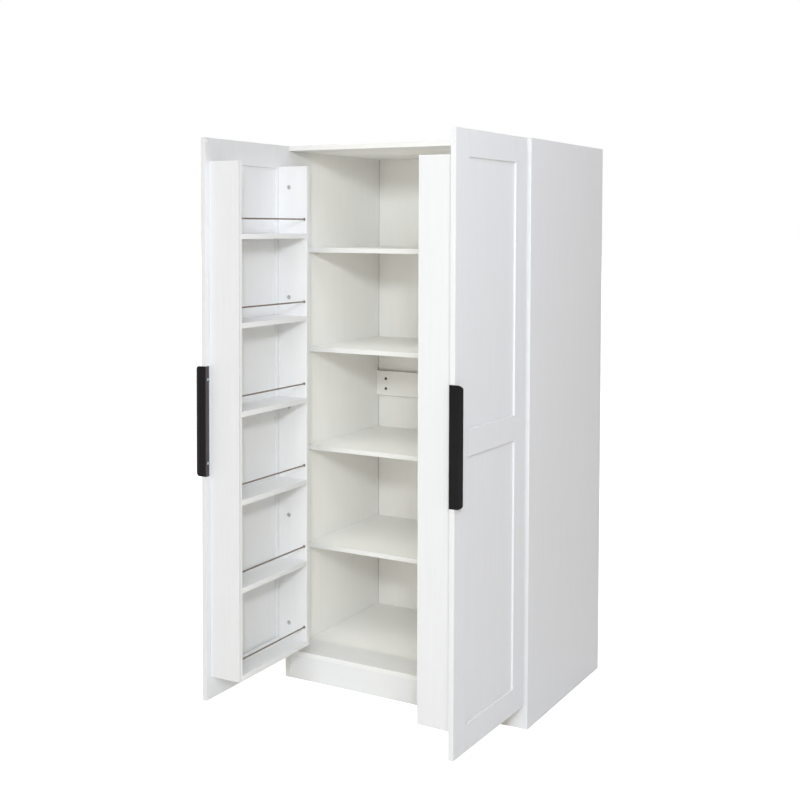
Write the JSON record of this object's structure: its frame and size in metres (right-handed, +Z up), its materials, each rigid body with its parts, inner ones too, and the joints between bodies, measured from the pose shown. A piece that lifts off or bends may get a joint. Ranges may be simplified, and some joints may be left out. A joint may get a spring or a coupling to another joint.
{
  "type": "pantry cabinet",
  "caption": "Tall pantry cabinet with framed hinged doors, interior shelves, and a rack of rod-fronted shelves on the inside of each door.",
  "frame": {"origin": "On the floor, at the middle of the box that holds the cabinet with its doors standing open at 89 degrees.", "axes": "+Z up, the open front faces -Y, +X to the right as seen from the front."},
  "size_m": [0.9154, 1.0588, 1.8],
  "materials": {
    "white_laminate": "white melamine laminate on particleboard, with a fine vertical grain",
    "black_metal": "satin black",
    "rod_steel": "satin",
    "nickel_steel": "nickel plated"
  },
  "bodies": {
    "carcass": {"side_left": "white_laminate", "side_right": "white_laminate", "top_panel": "white_laminate", "bottom_panel": "white_laminate", "kickboard": "white_laminate", "back_panel": "white_laminate", "back_rail": "white_laminate", "shelf_1": "white_laminate", "shelf_2": "white_laminate", "shelf_3": "white_laminate", "shelf_4": "white_laminate", "hinge_left_arm_1": "nickel_steel", "hinge_left_arm_2": "nickel_steel", "hinge_left_arm_3": "nickel_steel", "hinge_right_arm_1": "nickel_steel", "hinge_right_arm_2": "nickel_steel", "hinge_right_arm_3": "nickel_steel"},
    "door_left": {"door_left_frame": "white_laminate", "door_left_panel_lower": "white_laminate", "door_left_panel_upper": "white_laminate", "door_left_handle": "black_metal", "rack_left_side_hinge": "white_laminate", "rack_left_side_free": "white_laminate", "rack_left_shelf_1": "white_laminate", "rack_left_shelf_2": "white_laminate", "rack_left_shelf_3": "white_laminate", "rack_left_shelf_4": "white_laminate", "rack_left_shelf_5": "white_laminate", "rack_left_shelf_6": "white_laminate", "rack_left_rod_1": "rod_steel", "rack_left_rod_2": "rod_steel", "rack_left_rod_3": "rod_steel", "rack_left_rod_4": "rod_steel", "rack_left_rod_5": "rod_steel", "rack_left_rod_6": "rod_steel", "hinge_left_cup_1": "nickel_steel", "hinge_left_cup_2": "nickel_steel", "hinge_left_cup_3": "nickel_steel"},
    "door_right": {"door_right_frame": "white_laminate", "door_right_panel_lower": "white_laminate", "door_right_panel_upper": "white_laminate", "door_right_handle": "black_metal", "rack_right_side_hinge": "white_laminate", "rack_right_side_free": "white_laminate", "rack_right_shelf_1": "white_laminate", "rack_right_shelf_2": "white_laminate", "rack_right_shelf_3": "white_laminate", "rack_right_shelf_4": "white_laminate", "rack_right_shelf_5": "white_laminate", "rack_right_shelf_6": "white_laminate", "rack_right_rod_1": "rod_steel", "rack_right_rod_2": "rod_steel", "rack_right_rod_3": "rod_steel", "rack_right_rod_4": "rod_steel", "rack_right_rod_5": "rod_steel", "rack_right_rod_6": "rod_steel", "hinge_right_cup_1": "nickel_steel", "hinge_right_cup_2": "nickel_steel", "hinge_right_cup_3": "nickel_steel"}
  },
  "joints": [
    {"name": "door_left_hinge", "type": "hinge", "parent": "carcass", "child": "door_left", "pos_m": [-0.441, -0.08908, 0.938], "axis": [0, 0, -1], "range_deg": [-89, 18]},
    {"name": "door_right_hinge", "type": "hinge", "parent": "carcass", "child": "door_right", "pos_m": [0.441, -0.08908, 0.938], "axis": [0, 0, 1], "range_deg": [-89, 18]}
  ]
}
